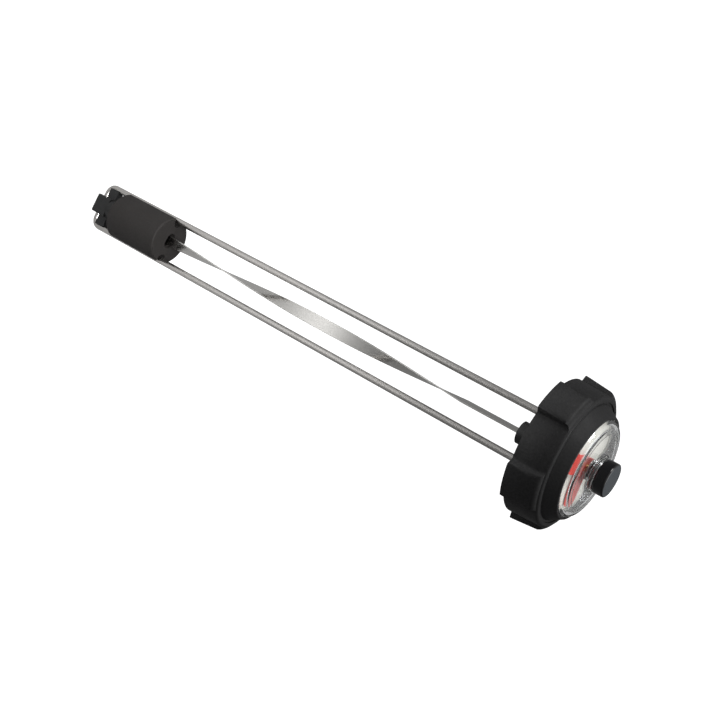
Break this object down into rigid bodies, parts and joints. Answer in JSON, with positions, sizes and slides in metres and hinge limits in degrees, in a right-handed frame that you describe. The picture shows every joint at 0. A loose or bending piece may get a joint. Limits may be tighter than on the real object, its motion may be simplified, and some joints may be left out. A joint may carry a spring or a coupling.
{
  "type": "tank level gauge",
  "caption": "Lobed screw cap with a domed dial window, vent knob, and a float on a bent guide wire that turns a twisted strip and its pointer.",
  "frame": {"origin": "centre of the neck seat, the underside of the cap's gasket", "axes": "+Z out of the tank along the strip's axis, +X towards one leg of the guide wire, -Y the side that the empty pointer shows"},
  "size_m": [0.0816, 0.0796, 0.3814],
  "materials": {
    "cap_plastic": "fine moulded texture",
    "head_plastic": "moulded",
    "knob_plastic": "polished",
    "gasket_rubber": "matte",
    "silicone": "translucent",
    "clear_plastic": "clear acrylic",
    "dial_plastic": "satin",
    "pointer_plastic": "satin",
    "bush_brass": "turned",
    "spring_steel": "blued",
    "strip_metal": "satin",
    "wire_steel": "drawn",
    "float_foam": "closed-cell foam"
  },
  "bodies": {
    "cap": {"cap_body": "cap_plastic", "cap_gasket": "gasket_rubber", "lens": "clear_plastic", "lens_seal": "silicone", "dial_plate": "dial_plastic", "gauge_head": "head_plastic", "top_bush": "bush_brass", "guide_wire": "wire_steel", "end_bracket": "head_plastic"},
    "float": {"float": "float_foam"},
    "indicator": {"spiral_strip": "strip_metal", "pointer_hub": "bush_brass", "pointer": "pointer_plastic"},
    "vent_lifter": {"vent_seal": "gasket_rubber"},
    "vent_screw": {"vent_knob": "knob_plastic", "vent_retainer": "spring_steel"}
  },
  "joints": [
    {"name": "float_slide", "type": "slide", "parent": "cap", "child": "float", "axis": [0, 0, 1], "range_m": [0, 0.2617]},
    {"name": "gauge_spin", "type": "hinge", "parent": "cap", "child": "indicator", "pos_m": [0, 0, 0], "axis": [0, 0, 1], "range_deg": [-287.5, 0]},
    {"name": "vent_lift", "type": "slide", "parent": "cap", "child": "vent_lifter", "axis": [0, 0, 1], "range_m": [0, 0.0012]},
    {"name": "vent_turn", "type": "hinge", "parent": "vent_lifter", "child": "vent_screw", "pos_m": [0, 0, 0.018], "axis": [0, 0, 1], "range_deg": [0, 288]}
  ],
  "couplings": [
    {"joint": "gauge_spin", "follows": "float_slide", "rad_per_m": -19.169},
    {"joint": "vent_lift", "follows": "vent_turn", "m_per_rad": 0.00023873}
  ]
}
